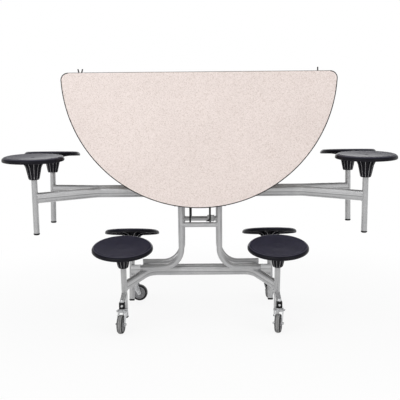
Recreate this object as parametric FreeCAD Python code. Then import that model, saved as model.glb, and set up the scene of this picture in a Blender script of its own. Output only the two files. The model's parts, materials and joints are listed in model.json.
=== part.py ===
import FreeCAD
import Part
import math
import os
from collections import namedtuple

V = FreeCAD.Vector
AXIS_X = V(1, 0, 0)
AXIS_Y = V(0, 1, 0)
AXIS_Z = V(0, 0, 1)

# Table top, sizes as it lies open
table_height = 737.0
top_radius = 753.0
top_setback = 12.0
seam_gap = 4.0
corner_radius = 40.0
laminate_thickness = 1.2
core_thickness = 18.8
band_thickness = 5.0

# Centre hinge: two rows of pins on a spine under the seam
hinge_offset = 50.0
hinge_depth = 74.0
hinge_x = 450.0
hinge_pin_radius = 6.0
hinge_eye_radius = 14.0
leaf_thickness = 10.0
hinge_plate_thickness = 6.0
spine_side = 40.0
spine_wall = 3.0
spine_length = 980.0

# Folding angles
fold_angle = 82.7
short_tilt = 12.6
long_tilt = 3.6

# Pivots of the frames under the top
pivot_depth = 45.0
pivot_swing_gap = 1.0
short_pivot_u = 628.0
long_pivot_u = 167.0
pivot_pin_radius = 6.0
pin_head = 2.5
upright_side_gap = 3.5
bracket_sheet = 4.0
cheek_thickness = 5.0
cheek_half_width = 14.0
bracket_length = 60.0

# Stools
seat_radius = 164.0
seat_height = 426.0
seat_rim = 23.0
seat_shell = 6.0
hub_top_radius = 47.0
hub_bottom_radius = 27.0
hub_height = 100.0
socket_depth = 74.0
rib_count = 12
rib_thickness = 3.0
rib_height = 12.0
flute_count = 14
flute_radius = 4.0
flute_depth = 1.4
short_stool_x = 417.0
short_stool_reach = 63.0
long_stool_reach = 131.0
long_stool_u = 345.0

# Steel tubes
tube_radius = 15.9
tube_wall = 2.0
beam_height = 57.0
beam_width = 30.0
beam_wall = 2.2
short_beam_level = 187.0
long_beam_level = 201.0
beam_bend_radius = 80.0
short_beam_mid_gap = 3.60676
short_bend_x = 292.0
long_bend_x = 572.0
upright_bend_radius = 112.0
short_upright_x = 106.0
short_foot_u = 666.0
short_foot_x = 338.0
long_foot_x = 330.0
weld_sink = 1.0
short_crossbar_radius = 14.0
short_crossbar_drop = 212.0
long_crossbar_radius = 11.0
long_crossbar_drop = 55.0

# Glides
glide_flange = 1.1
glide_height = 10.0
glide_stem = 30.0

# Caster arms, blocks and casters
arm_side = 28.0
arm_wall = 2.5
arm_level = 139.0
arm_reach = 130.0
block_width = 30.0
block_depth = 34.0
block_height = 33.0
stem_radius = 6.0
wheel_radius = 50.0
wheel_width = 30.0
rim_radius = 37.0
hub_radius = 13.0
hub_length = 34.0
trail = 32.0
race_radius = 32.0
race_height = 14.0
race_neck = 23.0
yoke_half_length = 26.0
yoke_bend = 8.0
yoke_boss = 12.0
wheel_side_gap = 1.0
wheel_top_gap = 11.0
fork_sheet = 3.0
axle_radius = 4.0
axle_head = 4.0
nut_radius = 11.0

# Links between the frames
link_width = 24.0
link_thickness = 6.0
stud_radius = 5.0
stud_shoulder_radius = 9.0
stud_proud = 2.0
short_stud_drop = 95.0
long_stud_drop = 85.7
slot_low_reach = 4.0
slot_high_reach = 2.0
slot_half_width = 7.4
slot_wall = 5.0

# Torsion bar
bar_radius = 4.75
bar_x = 55.0
bar_bend = 16.0
bar_entry = 8.0
clamp_length = 34.0
clamp_width = 26.0

# Catch on the rear crossbar
catch_x = -61.0
catch_width = 41.0
catch_height = 38.0
catch_plate = 4.0
hook_width = 20.0
hook_height = 13.0
hook_thickness = 5.0

# Rails under the top
rail_width = 8.0
rail_height = 20.0
rail_side_gap = 1.1
rail_start = 25.0
rail_setback = 38.0
cross_rail_u = 432.0
cross_rail_setback = 90.0

# Alignment pieces on the seam
align_setback = 108.0
align_radius = 3.5
align_reach = 21.0
align_depth = 12.0
prong_half = 7.5
prong_spread = 14.0
pocket_clearance = 1.5

# Clearances
running = 0.05
seated = 0.02
face_gap = 0.4

top_thickness = laminate_thickness + core_thickness
underside = table_height - top_thickness
pivot_z = table_height - pivot_depth
hinge_z = table_height - hinge_depth
short_crossbar_level = pivot_z - short_crossbar_drop
long_crossbar_level = pivot_z - long_crossbar_drop
glide_radius = tube_radius + glide_flange
bracket_gap = tube_radius + upright_side_gap
pin_end = bracket_gap + cheek_thickness + pin_head
short_stool_u = top_radius + short_stool_reach
long_stool_x = top_radius + long_stool_reach
rail_x = short_upright_x + pin_end + rail_side_gap + rail_width / 2
link_x = rail_x
long_upright_x = rail_x + rail_width / 2 + rail_side_gap + pin_end
align_x = top_radius - align_setback
top_centre_u = seam_gap / 2 - top_setback
rail_end = top_radius - rail_setback
cross_rail_half = math.sqrt(top_radius ** 2 - (cross_rail_u - top_centre_u) ** 2) - cross_rail_setback

# The plugged top of an upright swings past the bracket's sheet
swing_radius = underside - bracket_sheet - pivot_z - pivot_swing_gap
upright_crown = math.sqrt(swing_radius ** 2 - tube_radius ** 2)


def turn(u, z, degrees):
    """The outward and upward parts of an arm after folding by an angle."""
    a = math.radians(degrees)
    return u * math.cos(a) + z * math.sin(a), -u * math.sin(a) + z * math.cos(a)


def about(base, new_base, degrees, u, z):
    du, dz = turn(u - base[0], z - base[1], degrees)
    return new_base[0] + du, new_base[1] + dz


short_pivot = (short_pivot_u, pivot_z)
long_pivot = (long_pivot_u, pivot_z)
hinge_open = (hinge_offset, hinge_z)

# The casters under the folded short frames set how high everything stands
yoke_top = 2 * wheel_radius + wheel_top_gap + fork_sheet
race_top = yoke_top + race_height - 1
block_z = race_top + face_gap + block_height / 2
block_fall = turn(short_stool_u + arm_reach - short_pivot_u, arm_level - pivot_z, short_tilt)[1]
short_fall = turn(short_pivot_u - hinge_offset, pivot_z - hinge_z, fold_angle)[1]
spine_z = block_z - block_fall - short_fall
hinge_folded = (hinge_offset, spine_z)
short_pivot_folded = about(hinge_open, hinge_folded, fold_angle, *short_pivot)
long_pivot_folded = about(hinge_open, hinge_folded, fold_angle, *long_pivot)

# The folded short beams lean and stop short of the middle plane
lean = math.radians(short_tilt)
beam_lean_half = beam_width / 2 + (beam_height - beam_width) / 2 * math.sin(lean)
beam_swing = (pivot_z - short_beam_level) * math.sin(lean)
beam_setback = short_pivot_folded[0] - beam_swing - short_beam_mid_gap - beam_lean_half
short_beam_u = short_pivot_u - beam_setback / math.cos(lean)


def move(shape, base, new_base, degrees):
    s = shape.copy()
    s.rotate(V(0, -base[0], base[1]), AXIS_X, degrees)
    s.translate(V(0, base[0] - new_base[0], new_base[1] - base[1]))
    return s


def on_top(shape):
    return move(shape, hinge_open, hinge_folded, fold_angle)


def on_short(shape):
    return move(shape, short_pivot, short_pivot_folded, short_tilt)


def on_long(shape):
    return move(shape, long_pivot, long_pivot_folded, long_tilt)


def box(x0, x1, u0, u1, z0, z1):
    return Part.makeBox(x1 - x0, u1 - u0, z1 - z0, V(x0, -u1, z0))


def rod_x(radius, x0, x1, u, z):
    return Part.makeCylinder(radius, abs(x1 - x0), V(min(x0, x1), -u, z), AXIS_X)


def rod_z(radius, x, u, z0, z1):
    return Part.makeCylinder(radius, z1 - z0, V(x, -u, z0), AXIS_Z)


def plate_x(points, x0, x1):
    """A plate square to the seam, from an outline of outward and upward points."""
    corners = [V(x0, -u, z) for u, z in points]
    return Part.Face(Part.makePolygon(corners + corners[:1])).extrude(V(x1 - x0, 0, 0))


def run(points, radius, section):
    """A section carried along straight legs joined by arcs of one radius."""
    legs = []
    start = points[0]
    for before, corner, after in zip(points, points[1:], points[2:]):
        ahead = (corner - before).normalize()
        onward = (after - corner).normalize()
        angle = ahead.getAngle(onward)
        reach = radius * math.tan(angle / 2)
        axis = ahead.cross(onward).normalize()
        enter = corner - ahead * reach
        centre = enter + axis.cross(ahead) * radius
        legs.append(section(start, ahead).extrude(enter - start))
        legs.append(section(enter, ahead).revolve(centre, axis, math.degrees(angle)))
        start = corner + onward * reach
    legs.append(section(start, (points[-1] - start).normalize()).extrude(points[-1] - start))
    return legs[0].multiFuse(legs[1:]).removeSplitter()


def round_section(radius):
    def face(at, ahead):
        return Part.Face(Part.Wire(Part.makeCircle(radius, at, ahead)))
    return face


def ring_section(radius, wall):
    def face(at, ahead):
        return round_section(radius)(at, ahead).cut(round_section(radius - wall)(at, ahead)).Faces[0]
    return face


def oval_section(height, width):
    """Flat-sided oval standing on edge."""
    r = width / 2
    flat = AXIS_Z * (height / 2 - r)

    def face(at, ahead):
        side = ahead.cross(AXIS_Z).normalize() * r
        top = Part.Arc(at + flat + side, at + flat + AXIS_Z * r, at + flat - side).toShape()
        low = Part.Arc(at - flat - side, at - flat - AXIS_Z * r, at - flat + side).toShape()
        left = Part.makeLine(at + flat - side, at - flat - side)
        right = Part.makeLine(at - flat + side, at + flat + side)
        return Part.Face(Part.Wire([top, left, low, right]))
    return face


def mirrored(shape):
    return shape.mirror(V(0, 0, 0), AXIS_X)


def both_sides(shape):
    return [shape, mirrored(shape)]


def outline(radius, seam, corner):
    """Half-round plan of the top: an arc, a straight seam and two rounded corners."""
    rise = seam + corner - top_centre_u
    cx = math.sqrt((radius - corner) ** 2 - rise ** 2)
    k = radius / (radius - corner)
    tangent = V(cx * k, -(top_centre_u + rise * k), 0)
    low = V(cx, -seam, 0)
    away = V(cx, -(seam + corner), 0)
    bisect = ((tangent - away) + (low - away)).normalize()
    middle = away + bisect * corner
    far = V(0, -(top_centre_u + radius), 0)
    right = Part.Arc(low, middle, tangent).toShape()
    arc = Part.Arc(tangent, far, V(-tangent.x, tangent.y, 0)).toShape()
    left_middle = V(-middle.x, middle.y, 0)
    left = Part.Arc(V(-tangent.x, tangent.y, 0), left_middle, V(-low.x, low.y, 0)).toShape()
    seam_edge = Part.makeLine(V(-low.x, low.y, 0), low)
    return Part.Face(Part.Wire([right, arc, left, seam_edge])), cx


def slab(face, z0, z1):
    s = face.copy()
    s.translate(V(0, 0, z0))
    return s.extrude(V(0, 0, z1 - z0))


seam_u = seam_gap / 2
outer_face, corner_x = outline(top_radius, seam_u, corner_radius)
inner_face, inner_x = outline(top_radius - band_thickness, seam_u + band_thickness,
                              corner_radius - band_thickness)
seam_fill_end = seam_u + band_thickness + 1.0
align_z = underside + core_thickness / 2


def inner_slab(z0, z1):
    fill = box(-corner_x, corner_x, seam_u, seam_fill_end, z0, z1)
    return slab(inner_face, z0, z1).fuse(fill).removeSplitter()


laminate = inner_slab(underside + core_thickness, table_height)
core_blank = inner_slab(underside, underside + core_thickness)
band = slab(outer_face, underside, table_height).cut(inner_slab(underside, table_height))


def seam_pin(x, lean, radius, reach, depth):
    """A round pin standing out of the seam edge, leaning along the seam."""
    direction = V(math.sin(math.radians(lean)), math.cos(math.radians(lean)), 0)
    foot = V(x, -seam_u, align_z) - direction * depth
    return Part.makeCylinder(radius, depth + reach, foot, direction)


align_pins = [
    seam_pin(align_x, 0, align_radius, align_reach, align_depth),
    seam_pin(-align_x - prong_half, -prong_spread, align_radius, align_reach, align_depth),
    seam_pin(-align_x + prong_half, prong_spread, align_radius, align_reach, align_depth),
]
front_core = core_blank.cut(seam_pin(align_x, 0, align_radius + seated, 0, align_depth))
for side in (-1, 1):
    prong_x = -align_x + side * prong_half
    prong_hole = seam_pin(prong_x, side * prong_spread, align_radius + seated, 1, align_depth)
    front_core = front_core.cut(prong_hole)

# The rear half turns to face the front one, so its pockets sit on the opposite sides
pocket_radius = align_radius + pocket_clearance
pocket_depth = align_reach + 2 * pocket_clearance
rear_core = core_blank.cut(seam_pin(-align_x, 0, pocket_radius, 1, pocket_depth))
prong_lean = align_reach * math.tan(math.radians(prong_spread))
pocket_half = prong_half + prong_lean + pocket_radius + pocket_clearance
pocket_box = box(align_x - pocket_half, align_x + pocket_half, seam_u - 1, seam_u + pocket_depth,
                 align_z - pocket_radius, align_z + pocket_radius)
rear_core = rear_core.cut(pocket_box)


def square_tube(x0, x1, u0, u1, z0, z1, wall, along):
    outer = box(x0, x1, u0, u1, z0, z1)
    if along == "u":
        return outer.cut(box(x0 + wall, x1 - wall, u0 - 1, u1 + 1, z0 + wall, z1 - wall))
    return outer.cut(box(x0 - 1, x1 + 1, u0 + wall, u1 - wall, z0 + wall, z1 - wall))


rail_z0 = underside - rail_height
rail_inner = rail_x - rail_width / 2
rail_outer = rail_x + rail_width / 2
side_rail = box(rail_inner, rail_outer, rail_start, rail_end, rail_z0, underside)
cross_u0 = cross_rail_u - rail_width / 2
cross_u1 = cross_rail_u + rail_width / 2
cross_middle = box(-rail_inner, rail_inner, cross_u0, cross_u1, rail_z0, underside)
cross_end = box(rail_outer, cross_rail_half, cross_u0, cross_u1, rail_z0, underside)
rails = both_sides(side_rail) + [cross_middle] + both_sides(cross_end)


def pivot_bracket(x, u):
    """A folded sheet saddle with two cheeks that carry a frame's pivot pin."""
    half = bracket_length / 2
    outer = bracket_gap + cheek_thickness
    body = box(x - outer, x + outer, u - half, u + half, underside - bracket_sheet, underside)
    for x0 in (x - outer, x + bracket_gap):
        x1 = x0 + cheek_thickness
        cheek = plate_x([(u - half, underside), (u + half, underside), (u + cheek_half_width, pivot_z),
                         (u - cheek_half_width, pivot_z)], x0, x1)
        body = body.fuse(cheek).fuse(rod_x(cheek_half_width, x0, x1, u, pivot_z))
    body = body.cut(rod_x(pivot_pin_radius + seated, x - outer - 1, x + outer + 1, u, pivot_z))
    return body.removeSplitter()


def pivot_pin(x, u):
    outer = bracket_gap + cheek_thickness
    pin = rod_x(pivot_pin_radius, x - pin_end, x + pin_end, u, pivot_z)
    head = rod_x(pivot_pin_radius + 3, x - pin_end, x - outer, u, pivot_z)
    washer = rod_x(pivot_pin_radius + 3, x + outer, x + pin_end, u, pivot_z)
    return pin.fuse(head).fuse(washer).removeSplitter()


def hinge_leaf(x):
    """A bracket under the seam that reaches down to the spine's pin."""
    half = leaf_thickness / 2
    base = box(x - 25, x + 25, 12, 122, underside - 5, underside)
    web = plate_x([(20, underside - 4), (114, underside - 4), (hinge_offset + 13, hinge_z - 5),
                   (hinge_offset - 13, hinge_z - 5)], x - half, x + half)
    eye = rod_x(hinge_eye_radius, x - half, x + half, hinge_offset, hinge_z)
    bore = rod_x(hinge_pin_radius + running, x - half - 1, x + half + 1, hinge_offset, hinge_z)
    return base.fuse(web).fuse(eye).cut(bore).removeSplitter()


clamp_u0 = short_pivot_u - clamp_width / 2
clamp_u1 = short_pivot_u + clamp_width / 2
bar_clamp = box(-clamp_length / 2, clamp_length / 2, clamp_u0, clamp_u1, pivot_z - 11, underside)
bar_clamp = bar_clamp.cut(rod_x(bar_radius + running, -clamp_length, clamp_length, short_pivot_u, pivot_z))

brackets = []
for half_shape in (pivot_bracket(short_upright_x, short_pivot_u), pivot_bracket(long_upright_x, long_pivot_u),
                   hinge_leaf(hinge_x)):
    brackets += both_sides(half_shape)
brackets.append(bar_clamp)
pivot_pins = both_sides(pivot_pin(short_upright_x, short_pivot_u))
pivot_pins += both_sides(pivot_pin(long_upright_x, long_pivot_u))

# Frames
Frame = namedtuple("Frame", "beam_level beam_u bend_x upright_x top_u foot_u foot_x stool_x stool_u")
short = Frame(short_beam_level, short_beam_u, short_bend_x, short_upright_x, short_pivot_u, short_foot_u,
              short_foot_x, short_stool_x, short_stool_u)
long = Frame(long_beam_level, long_pivot_u, long_bend_x, long_upright_x, long_pivot_u, long_pivot_u,
             long_foot_x, long_stool_x, long_stool_u)


def beam_run(f, inset):
    points = [V(-f.stool_x, -f.stool_u, f.beam_level), V(-f.bend_x, -f.beam_u, f.beam_level),
              V(f.bend_x, -f.beam_u, f.beam_level), V(f.stool_x, -f.stool_u, f.beam_level)]
    return run(points, beam_bend_radius, oval_section(beam_height - 2 * inset, beam_width - 2 * inset))


def beam(f):
    """Oval tube that runs under the top and bends out to a post at each end."""
    shell = beam_run(f, 0).cut(beam_run(f, beam_wall))
    for side in (-1, 1):
        shell = shell.cut(rod_z(tube_radius, side * f.stool_x, f.stool_u, 0, seat_height))
    return shell


def foot_level(f):
    return f.beam_level + beam_height / 2 + tube_radius - weld_sink


def lean_u(f, z):
    """Outward place of a leaning upright's middle line at a height."""
    return f.top_u + (f.foot_u - f.top_u) * (pivot_z - z) / (pivot_z - foot_level(f))


def upright_run(f, z_top, section):
    foot_z = foot_level(f)
    points = [V(f.upright_x, -lean_u(f, z_top), z_top), V(f.upright_x, -f.foot_u, foot_z),
              V(f.foot_x, -f.foot_u, foot_z)]
    return run(points, upright_bend_radius, section)


def upright(f, stud_drop, stud_side):
    """Round tube with a bent foot on the beam, a pin hole in its plugged top and a welded stud for a link."""
    x = f.upright_x
    top_z = pivot_z + upright_crown
    plug_z = pivot_z - 2 * tube_radius
    plug_foot = V(x, -lean_u(f, plug_z), plug_z)
    upward = V(x, -lean_u(f, top_z), top_z) - plug_foot
    plug = Part.makeCylinder(tube_radius, upward.Length, plug_foot, upward)
    stud_z = pivot_z - stud_drop
    stud_u = lean_u(f, stud_z)
    seat_x = link_x - stud_side * (link_thickness / 2 + face_gap)
    end_x = link_x + stud_side * (link_thickness / 2 + stud_proud)
    stud = rod_x(stud_shoulder_radius, x, seat_x, stud_u, stud_z)
    stud = stud.fuse(rod_x(stud_radius, x, end_x, stud_u, stud_z))
    stud = stud.cut(Part.makeCylinder(tube_radius - tube_wall, stud_drop, plug_foot, upward * -1))
    solid = upright_run(f, plug_z, ring_section(tube_radius, tube_wall)).fuse(plug).fuse(stud)
    hole = rod_x(pivot_pin_radius + running, x - 2 * tube_radius, x + 2 * tube_radius, f.top_u, pivot_z)
    return solid.cut(hole).cut(beam_run(f, 0)).removeSplitter()


def crossbar(f, radius, z):
    x = f.upright_x
    u = lean_u(f, z)
    bar = rod_x(radius, -x, x, u, z).cut(rod_x(radius - tube_wall, -x, x, u, z))
    side_tube = upright_run(f, pivot_z, round_section(tube_radius))
    return bar.cut(side_tube).cut(mirrored(side_tube))


def post(x, u):
    top = seat_height - seat_rim - hub_height + socket_depth
    return rod_z(tube_radius, x, u, glide_height, top).cut(rod_z(tube_radius - tube_wall, x, u, 0, top + 1))


def stool(x, u):
    """Moulded round seat with a turned-down rim, ribs under it and a tapered hub on the post."""
    h = seat_height
    r = seat_radius
    deck = h - 3.0 - seat_shell
    hub_bottom = h - seat_rim - hub_height
    crown = [V(0, 0, h - 4), V(38, 0, h - 4), V(r - 24, 0, h)]
    shoulder = Part.Arc(crown[-1], V(r - 6, 0, h - 4), V(r, 0, h - 13)).toShape()
    socket = tube_radius + seated
    ring = [V(r, 0, h - 13), V(r, 0, h - seat_rim + 2), V(r - 2, 0, h - seat_rim), V(r - 7, 0, h - seat_rim),
            V(r - 8, 0, deck - 2), V(hub_top_radius + 3, 0, deck - 2), V(hub_top_radius, 0, deck - 6),
            V(hub_bottom_radius, 0, hub_bottom), V(socket, 0, hub_bottom),
            V(socket, 0, hub_bottom + socket_depth), V(0, 0, hub_bottom + socket_depth), crown[0]]
    edges = [Part.makeLine(a, b) for a, b in zip(crown, crown[1:])] + [shoulder]
    edges += [Part.makeLine(a, b) for a, b in zip(ring, ring[1:])]
    seat = Part.Face(Part.Wire(edges)).revolve(V(0, 0, 0), AXIS_Z, 360)
    for i in range(rib_count):
        corner = V(hub_top_radius - 6, -rib_thickness / 2, deck - rib_height - 1)
        rib = Part.makeBox(r - hub_top_radius, rib_thickness, rib_height, corner)
        rib.rotate(V(0, 0, 0), AXIS_Z, (i + 0.5) * 360 / rib_count)
        seat = seat.fuse(rib)
    slope = V(hub_top_radius - hub_bottom_radius, 0, deck - 6 - hub_bottom)
    flute_length = slope.Length - 2 * flute_radius
    slope.normalize()
    outward = V(slope.z, 0, -slope.x)
    foot = V(hub_bottom_radius, 0, hub_bottom) + outward * (flute_radius - flute_depth) - slope * flute_radius
    flute = Part.makeCylinder(flute_radius, flute_length, foot, slope)
    for i in range(flute_count):
        groove = flute.copy()
        groove.rotate(V(0, 0, 0), AXIS_Z, i * 360 / flute_count)
        seat = seat.cut(groove)
    seat = seat.removeSplitter()
    seat.translate(V(x, -u, 0))
    return seat


def glide(x, u):
    """Flat-bottomed foot plugged into the lower end of a post."""
    bore = tube_radius - tube_wall - seated
    points = [V(0, 0, 0), V(glide_radius - 4, 0, 0), V(glide_radius, 0, 4), V(glide_radius, 0, 7),
              V(glide_radius - 2, 0, glide_height), V(bore, 0, glide_height),
              V(bore, 0, glide_height + glide_stem), V(0, 0, glide_height + glide_stem), V(0, 0, 0)]
    foot = Part.Face(Part.makePolygon(points)).revolve(V(0, 0, 0), AXIS_Z, 360)
    foot.translate(V(x, -u, 0))
    return foot


short_upright = upright(short, short_stud_drop, 1)
long_upright = upright(long, long_stud_drop, -1)
short_bar = crossbar(short, short_crossbar_radius, short_crossbar_level)
long_bar = crossbar(long, long_crossbar_radius, long_crossbar_level)
short_beam = beam(short)
long_beam = beam(long)

# The torsion bar's legs lean with the uprights and end in the short crossbar
bar_foot = short_crossbar_level + short_crossbar_radius - bar_entry
bar_foot_u = lean_u(short, bar_foot)
bar_points = [V(-bar_x, -bar_foot_u, bar_foot), V(-bar_x, -short_pivot_u, pivot_z),
              V(bar_x, -short_pivot_u, pivot_z), V(bar_x, -bar_foot_u, bar_foot)]
torsion_bar = run(bar_points, bar_bend, round_section(bar_radius))
short_bar = short_bar.cut(run(bar_points, bar_bend, round_section(bar_radius + seated)))

# The rear half's catch: a plate against the inner side of the crossbar, and a hook on it
catch_u = lean_u(short, short_crossbar_level) - short_crossbar_radius
plate_x0 = catch_x - catch_width / 2
plate_x1 = catch_x + catch_width / 2
catch_low = short_crossbar_level - catch_height / 2
hook_u = catch_u - catch_plate
keeper = box(plate_x0, plate_x1, hook_u, catch_u, catch_low, catch_low + catch_height)
hook_points = [V(plate_x1, -hook_u, catch_low), V(plate_x1 + hook_width, -hook_u, catch_low),
               V(plate_x1, -hook_u, catch_low + hook_height)]
hook_points = [p + V(-hook_width / 2, 0, 0) for p in hook_points]
catch_hook = Part.Face(Part.makePolygon(hook_points + hook_points[:1])).extrude(V(0, hook_thickness, 0))

# Caster blocks stand upright while the table is folded
block_u = about(short_pivot, short_pivot_folded, short_tilt, short_stool_u + arm_reach, arm_level)[0]
block_blank = box(short_stool_x - block_width / 2, short_stool_x + block_width / 2, block_u - block_depth / 2,
                  block_u + block_depth / 2, block_z - block_height / 2, block_z + block_height / 2)
stem_bore = rod_z(stem_radius + running, short_stool_x, block_u, block_z - block_height,
                  block_z + block_height)
block = block_blank.cut(stem_bore)

arm_half = arm_side / 2
arm_end = short_stool_u + arm_reach
arm = square_tube(short_stool_x - arm_half, short_stool_x + arm_half, short_stool_u, arm_end,
                  arm_level - arm_half, arm_level + arm_half, arm_wall, "u")
arm = arm.cut(rod_z(tube_radius - tube_wall, short_stool_x, short_stool_u, 0, seat_height))
post_and_arm = post(short_stool_x, short_stool_u).fuse(arm)
post_and_arm = on_short(post_and_arm).cut(block_blank)
keep = max(post_and_arm.Solids, key=lambda s: s.Volume)
short_posts = both_sides(keep)


def rounded_bar(half_width, top, bend, low, x0, x1):
    """Upright bar along the heading whose two upper edges are rounded."""
    start = V(x0, -half_width, low)
    left = V(x0, -half_width, top - bend)
    crown_left = V(x0, -half_width + bend, top)
    crown_right = V(x0, half_width - bend, top)
    right = V(x0, half_width, top - bend)
    end = V(x0, half_width, low)
    diagonal = bend * (1 - math.sqrt(0.5))
    left_arc = Part.Arc(left, V(x0, -half_width + diagonal, top - diagonal), crown_left).toShape()
    right_arc = Part.Arc(crown_right, V(x0, half_width - diagonal, top - diagonal), right).toShape()
    edges = [Part.makeLine(start, left), left_arc, Part.makeLine(crown_left, crown_right), right_arc,
             Part.makeLine(right, end), Part.makeLine(end, start)]
    return Part.Face(Part.Wire(edges)).extrude(V(x1 - x0, 0, 0))


def yoke():
    """Pressed sheet fork: a bridge with rounded shoulders and two legs that taper to the axle."""
    inner = hub_length / 2 + wheel_side_gap
    outer = inner + fork_sheet
    low = wheel_radius - 2 * yoke_boss
    x0 = -yoke_half_length
    x1 = trail + 2 * yoke_boss
    sheet = rounded_bar(outer, yoke_top, yoke_bend, low, x0, x1)
    hollow = rounded_bar(inner, yoke_top - fork_sheet, yoke_bend - fork_sheet, low - 1, x0 - 1, x1 + 1)
    sheet = sheet.cut(hollow)
    side = [V(x0, -outer, yoke_top), V(-x0, -outer, yoke_top), V(trail + yoke_boss, -outer, wheel_radius),
            V(trail - yoke_boss, -outer, wheel_radius), V(x0, -outer, yoke_top - yoke_bend)]
    pattern = Part.Face(Part.makePolygon(side + side[:1])).extrude(V(0, 2 * outer, 0))
    boss = Part.makeCylinder(yoke_boss, 2 * outer, V(trail, -outer, wheel_radius), AXIS_Y)
    bore = Part.makeCylinder(axle_radius + seated, 2 * outer, V(trail, -outer, wheel_radius), AXIS_Y)
    return sheet.common(pattern.fuse(boss)).cut(bore)


def raceway():
    """Two turned cups of the swivel bearing, with a neck between them."""
    points = [(0, 0), (race_neck + 1, 0), (race_neck + 1, 2), (race_neck, 3), (race_neck, 5),
              (race_radius - 2, 5), (race_radius, 7), (race_radius, race_height - 4),
              (race_radius - 4, race_height), (0, race_height)]
    corners = [V(r, 0, race_top - drop) for r, drop in points]
    return Part.Face(Part.makePolygon(corners + corners[:1])).revolve(V(0, 0, 0), AXIS_Z, 360)


def dome_nut(low):
    thread = stem_radius + seated
    points = [V(thread, 0, 0), V(nut_radius, 0, 0), V(nut_radius, 0, 8), V(nut_radius - 2, 0, 12),
              V(nut_radius - 5, 0, 16), V(3, 0, 18), V(0, 0, 18), V(0, 0, 8), V(thread, 0, 8),
              V(thread, 0, 0)]
    nut = Part.Face(Part.makePolygon(points)).revolve(V(0, 0, 0), AXIS_Z, 360)
    nut.translate(V(0, 0, low))
    return nut


def caster_fork(x, u, heading):
    """Swivel fork with its stem, dome nut and axle, the wheel trailing along a heading."""
    nut_low = block_z + block_height / 2 + face_gap
    stem = Part.makeCylinder(stem_radius, nut_low + 6 - race_top + 2, V(0, 0, race_top - 2), AXIS_Z)
    body = yoke().fuse(raceway()).fuse(stem).removeSplitter()
    reach = hub_length / 2 + wheel_side_gap + fork_sheet
    axle = Part.makeCylinder(axle_radius, 2 * reach, V(trail, -reach, wheel_radius), AXIS_Y)
    for y in (reach, -reach - axle_head):
        axle = axle.fuse(Part.makeCylinder(axle_radius + 3, axle_head, V(trail, y, wheel_radius), AXIS_Y))
    pieces = [body, dome_nut(nut_low), axle.removeSplitter()]
    for piece in pieces:
        piece.rotate(V(0, 0, 0), AXIS_Z, heading)
        piece.translate(V(x, -u, 0))
    return pieces


def ring_x(points, x, u, heading):
    """A wheel piece turned about its axle and set at the end of the trail."""
    face = Part.Face(Part.makePolygon([V(0, y, r) for r, y in points + points[:1]]))
    piece = face.revolve(V(0, 0, 0), AXIS_Y, 360)
    piece.translate(V(trail, 0, wheel_radius))
    piece.rotate(V(0, 0, 0), AXIS_Z, heading)
    piece.translate(V(x, -u, 0))
    return piece


half_tread = wheel_width / 2
tyre_points = [(rim_radius, -half_tread + 2), (rim_radius + 6, -half_tread),
               (wheel_radius - 4, -half_tread + 2), (wheel_radius, -half_tread + 8),
               (wheel_radius, half_tread - 8), (wheel_radius - 4, half_tread - 2),
               (rim_radius + 6, half_tread), (rim_radius, half_tread - 2)]
hub_points = [(axle_radius + running, -hub_length / 2), (hub_radius, -hub_length / 2), (hub_radius + 1, -6),
              (rim_radius - 5, -6), (rim_radius - 3, -half_tread + 2), (rim_radius, -half_tread + 2),
              (rim_radius, half_tread - 2), (rim_radius - 3, half_tread - 2), (rim_radius - 5, 6),
              (hub_radius + 1, 6), (hub_radius, hub_length / 2), (axle_radius + running, hub_length / 2)]

# Links, drawn between the studs of the folded frames
stud_z = pivot_z - short_stud_drop
stud_u = lean_u(short, stud_z)
stud_a = about(short_pivot, short_pivot_folded, short_tilt, stud_u, stud_z)
stud_b = about(long_pivot, long_pivot_folded, long_tilt, long_pivot_u, pivot_z - long_stud_drop)
link_length = math.hypot(stud_b[0] - stud_a[0], stud_b[1] - stud_a[1])
link_lean = math.degrees(math.atan2(stud_b[0] - stud_a[0], stud_b[1] - stud_a[1]))


def link(x):
    """Flat bar with a round eye at the short frame and a slotted eye at the long one."""
    half = link_thickness / 2
    eye = link_width / 2
    slot_low = link_length - slot_low_reach
    slot_high = link_length + slot_high_reach
    big = slot_half_width + slot_wall
    bar = box(x - half, x + half, -eye, eye, 0, link_length)
    bar = bar.fuse(rod_x(eye, x - half, x + half, 0, 0))
    bar = bar.fuse(box(x - half, x + half, -big, big, slot_low, slot_high))
    for z in (slot_low, slot_high):
        bar = bar.fuse(rod_x(big, x - half, x + half, 0, z))
    bar = bar.cut(rod_x(stud_radius + running, x - half - 1, x + half + 1, 0, 0))
    bar = bar.cut(box(x - half - 1, x + half + 1, -slot_half_width, slot_half_width, slot_low, slot_high))
    for z in (slot_low, slot_high):
        bar = bar.cut(rod_x(slot_half_width, x - half - 1, x + half + 1, 0, z))
    bar = bar.removeSplitter()
    bar.rotate(V(0, 0, 0), AXIS_X, link_lean)
    bar.translate(V(0, -stud_a[0], stud_a[1]))
    return bar


# Spine with its hinge plates and pins, on the middle plane
spine_half = spine_side / 2
spine = square_tube(-spine_length / 2, spine_length / 2, -spine_half, spine_half, spine_z - spine_half,
                    spine_z + spine_half, spine_wall, "x")


def hinge_plate(x0):
    x1 = x0 + hinge_plate_thickness
    radius = hinge_eye_radius + 4
    plate = box(x0, x1, -hinge_offset, hinge_offset, spine_z - radius - 6, spine_z + radius + 6)
    for side in (-1, 1):
        plate = plate.fuse(rod_x(radius, x0, x1, side * hinge_offset, spine_z))
    for side in (-1, 1):
        plate = plate.cut(rod_x(hinge_pin_radius + seated, x0 - 1, x1 + 1, side * hinge_offset, spine_z))
    passage = box(x0 - 1, x1 + 1, -spine_half, spine_half, spine_z - spine_half, spine_z + spine_half)
    return plate.cut(passage).removeSplitter()


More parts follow.
